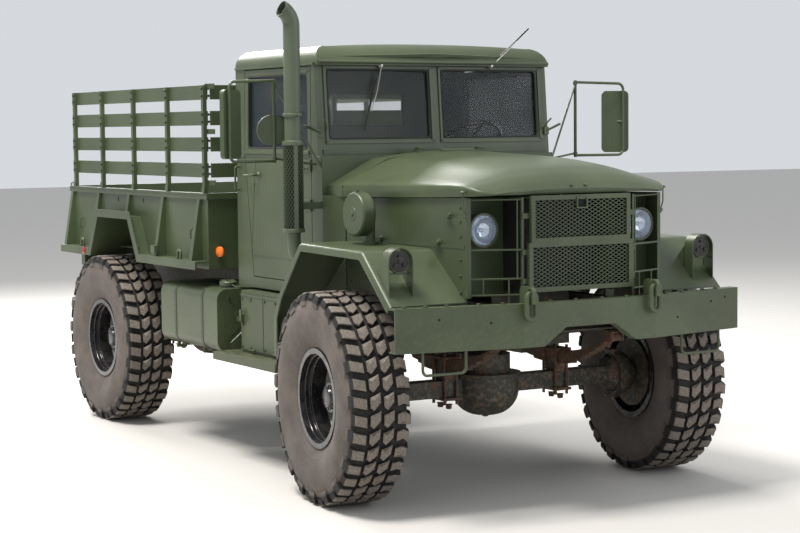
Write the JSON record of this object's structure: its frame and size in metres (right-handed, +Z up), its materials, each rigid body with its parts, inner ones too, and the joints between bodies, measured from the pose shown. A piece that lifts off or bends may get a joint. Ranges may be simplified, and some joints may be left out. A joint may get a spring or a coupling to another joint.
{
  "type": "military cargo truck",
  "caption": "Two-axle military cargo truck with a long hood, hard-top cab, short stake-sided steel bed and very large off-road tyres; steering, wheels, doors, hood and tailgate move.",
  "frame": {"origin": "on the ground under the middle of the truck's bounding box", "axes": "+X forward, +Y to the truck's left, +Z up"},
  "size_m": [5.662, 2.9882, 2.92],
  "materials": {
    "olive_paint": "satin",
    "underbody_paint": "matte",
    "black_gloss": "gloss",
    "tyre_rubber": "matte",
    "window_glass": "gloss",
    "lamp_glass": "gloss",
    "seat_vinyl": "matte",
    "rusty_iron": "rusty"
  },
  "bodies": {
    "chassis": {"frame_rails": "underbody_paint", "crossmembers": "underbody_paint", "frame_brackets": "underbody_paint", "fuel_tank": "olive_paint", "battery_box": "olive_paint", "running_boards": "olive_paint", "air_tanks": "underbody_paint", "front_bumper": "olive_paint", "tow_shackles": "olive_paint", "front_axle": "underbody_paint", "rear_axle": "underbody_paint", "leaf_springs": "rusty_iron", "driveline": "rusty_iron", "engine_block": "underbody_paint", "front_shell": "olive_paint", "radiator": "black_gloss", "side_panels": "olive_paint", "fender_left": "olive_paint", "fender_right": "olive_paint", "headlights": "lamp_glass", "fender_lamps": "olive_paint", "brush_guard": "olive_paint", "grille": "olive_paint", "air_intake": "olive_paint", "cab_body": "olive_paint", "windshield_frame": "olive_paint", "hard_top": "olive_paint", "cab_glass": "window_glass", "seat_frames": "olive_paint", "seat_cushions": "seat_vinyl", "dashboard": "olive_paint", "steering_column": "olive_paint", "exhaust_stack": "olive_paint", "mirrors": "olive_paint", "bed_floor": "olive_paint", "bed_front_wall": "olive_paint", "bed_sides": "olive_paint", "stake_racks": "olive_paint", "tail_lamps": "olive_paint", "pintle_hook": "olive_paint"},
    "knuckle_left": {"knuckle_left": "underbody_paint"},
    "knuckle_right": {"knuckle_right": "underbody_paint"},
    "tie_rod": {"tie_rod": "rusty_iron"},
    "front_wheel_left": {"wheel_front_left": "black_gloss", "tyre_front_left": "tyre_rubber"},
    "front_wheel_right": {"wheel_front_right": "black_gloss", "tyre_front_right": "tyre_rubber"},
    "rear_wheel_left": {"wheel_rear_left": "black_gloss", "tyre_rear_left": "tyre_rubber"},
    "rear_wheel_right": {"wheel_rear_right": "black_gloss", "tyre_rear_right": "tyre_rubber"},
    "steering_wheel": {"steering_wheel": "black_gloss"},
    "hood": {"hood": "olive_paint"},
    "door_left": {"door_left": "olive_paint", "door_glass_left": "window_glass"},
    "door_right": {"door_right": "olive_paint", "door_glass_right": "window_glass"},
    "tailgate": {"tailgate": "olive_paint"}
  },
  "joints": [
    {"name": "steer_left", "type": "hinge", "parent": "chassis", "child": "knuckle_left", "pos_m": [1.859, 0.83, 0.61], "axis": [0, 0, 1], "range_deg": [-20, 32]},
    {"name": "steer_right", "type": "hinge", "parent": "chassis", "child": "knuckle_right", "pos_m": [1.859, -0.83, 0.61], "axis": [0, 0, 1], "range_deg": [-20, 32]},
    {"name": "tie_rod_pin", "type": "hinge", "parent": "knuckle_left", "child": "tie_rod", "pos_m": [1.58053, 0.85927, 0.594], "axis": [0, 0, 1], "range_deg": [-32, 20]},
    {"name": "front_wheel_left_spin", "type": "hinge", "parent": "knuckle_left", "child": "front_wheel_left", "pos_m": [1.88618, 1.08858, 0.61], "axis": [0.1045, 0.9945, 0], "continuous": true},
    {"name": "front_wheel_right_spin", "type": "hinge", "parent": "knuckle_right", "child": "front_wheel_right", "pos_m": [1.83182, -1.08858, 0.61], "axis": [0.1045, 0.9945, 0], "continuous": true},
    {"name": "rear_wheel_left_spin", "type": "hinge", "parent": "chassis", "child": "rear_wheel_left", "pos_m": [-1.941, 0.89, 0.61], "axis": [0, 1, 0], "continuous": true},
    {"name": "rear_wheel_right_spin", "type": "hinge", "parent": "chassis", "child": "rear_wheel_right", "pos_m": [-1.941, -0.89, 0.61], "axis": [0, 1, 0], "continuous": true},
    {"name": "steering_wheel_turn", "type": "hinge", "parent": "chassis", "child": "steering_wheel", "pos_m": [0.709, 0.5, 2.03], "axis": [-0.6, 0, 0.8], "range_deg": [-320, 512]},
    {"name": "hood_hinge", "type": "hinge", "parent": "chassis", "child": "hood", "pos_m": [1.381, 0, 2.0063], "axis": [0, -1, 0], "range_deg": [0, 65]},
    {"name": "door_left_hinge", "type": "hinge", "parent": "chassis", "child": "door_left", "pos_m": [1.062, 0.8523, 1.6], "axis": [0, 0, -1], "range_deg": [0, 70]},
    {"name": "door_right_hinge", "type": "hinge", "parent": "chassis", "child": "door_right", "pos_m": [1.062, -0.8523, 1.6], "axis": [0, 0, 1], "range_deg": [0, 70]},
    {"name": "tailgate_hinge", "type": "hinge", "parent": "chassis", "child": "tailgate", "pos_m": [-2.7203, 0, 1.24], "axis": [0, -1, 0], "range_deg": [0, 90]}
  ],
  "couplings": [
    {"joint": "steer_right", "follows": "steer_left", "ratio": 1},
    {"joint": "tie_rod_pin", "follows": "steer_left", "ratio": -1},
    {"joint": "steering_wheel_turn", "follows": "steer_left", "ratio": 16}
  ]
}
